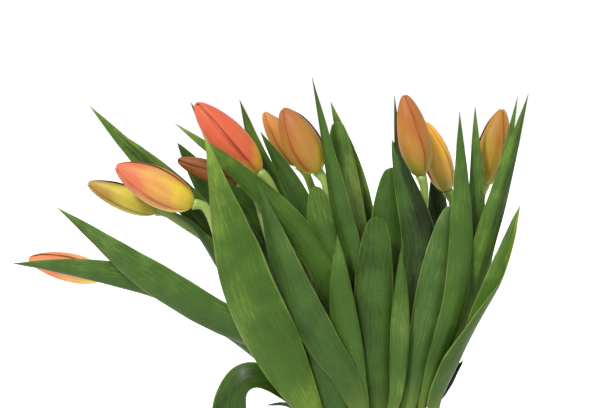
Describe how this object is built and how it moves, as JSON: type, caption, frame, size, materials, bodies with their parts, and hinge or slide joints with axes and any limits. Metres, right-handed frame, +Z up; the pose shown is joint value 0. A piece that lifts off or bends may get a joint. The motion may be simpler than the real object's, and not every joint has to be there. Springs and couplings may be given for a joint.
{
  "type": "tulips in a vase",
  "caption": "Cut tulips with closed orange and yellow buds and long green leaves, fanned out of a plain glazed ceramic vase.",
  "frame": {"origin": "middle of the underside of the vase's foot, on the surface that it stands on", "axes": "+Z up, front of the bouquet faces -Y, +X to the right as seen from the front"},
  "size_m": [0.3525, 0.1114, 0.4461],
  "materials": {
    "glaze": "smooth off-white glaze",
    "stem": "smooth, slightly waxy green stem",
    "leaf": "waxy green leaf with fine parallel veins",
    "petal_peach": "satin peach-orange petal",
    "petal_coral": "satin coral-red petal",
    "petal_yellow": "satin greenish-yellow petal",
    "petal_orange": "satin orange petal",
    "petal_brown": "satin brown-orange petal"
  },
  "bodies": {
    "root": {"vase": "glaze", "stem_far_left": "stem", "bud_far_left": "petal_peach", "stem_left_yellow": "stem", "bud_left_yellow": "petal_yellow", "stem_left_peach": "stem", "bud_left_peach": "petal_peach", "stem_left_coral": "stem", "bud_left_coral": "petal_coral", "stem_left_shaded": "stem", "bud_left_shaded": "petal_brown", "stem_middle_back": "stem", "bud_middle_back": "petal_orange", "stem_middle_orange": "stem", "bud_middle_orange": "petal_orange", "stem_right_orange": "stem", "bud_right_orange": "petal_orange", "stem_right_yellow": "stem", "bud_right_yellow": "petal_yellow", "stem_far_right": "stem", "bud_far_right": "petal_orange", "leaf_front_left_broad": "leaf", "leaf_front_left_second": "leaf", "leaf_front_left_short": "leaf", "leaf_front_middle_narrow": "leaf", "leaf_front_middle_broad": "leaf", "leaf_bright_strap": "leaf", "leaf_low_left_long": "leaf", "leaf_low_left_outer": "leaf", "leaf_drooping": "leaf", "leaf_low_left_small": "leaf", "leaf_upper_left_back": "leaf", "leaf_upper_left_front": "leaf", "leaf_lower_left_dark": "leaf", "leaf_middle_behind_strap": "leaf", "leaf_middle_light_broad": "leaf", "leaf_back_left_tall": "leaf", "leaf_tallest": "leaf", "leaf_behind_tallest_rounded": "leaf", "leaf_behind_tallest_pointed": "leaf", "leaf_right_of_middle_rounded": "leaf", "leaf_behind_orange_bud": "leaf", "leaf_dark_middle_right": "leaf", "leaf_front_right_short": "leaf", "leaf_right_rounded": "leaf", "leaf_right_tall_inner": "leaf", "leaf_right_tall_behind": "leaf", "leaf_right_tall_outer": "leaf", "leaf_right_tip_behind": "leaf", "leaf_far_right_channel": "leaf", "leaf_low_right_dark": "leaf", "leaf_behind_left_buds": "leaf", "leaf_behind_coral_bud": "leaf", "leaf_behind_yellow_bud": "leaf"}
  },
  "joints": []
}
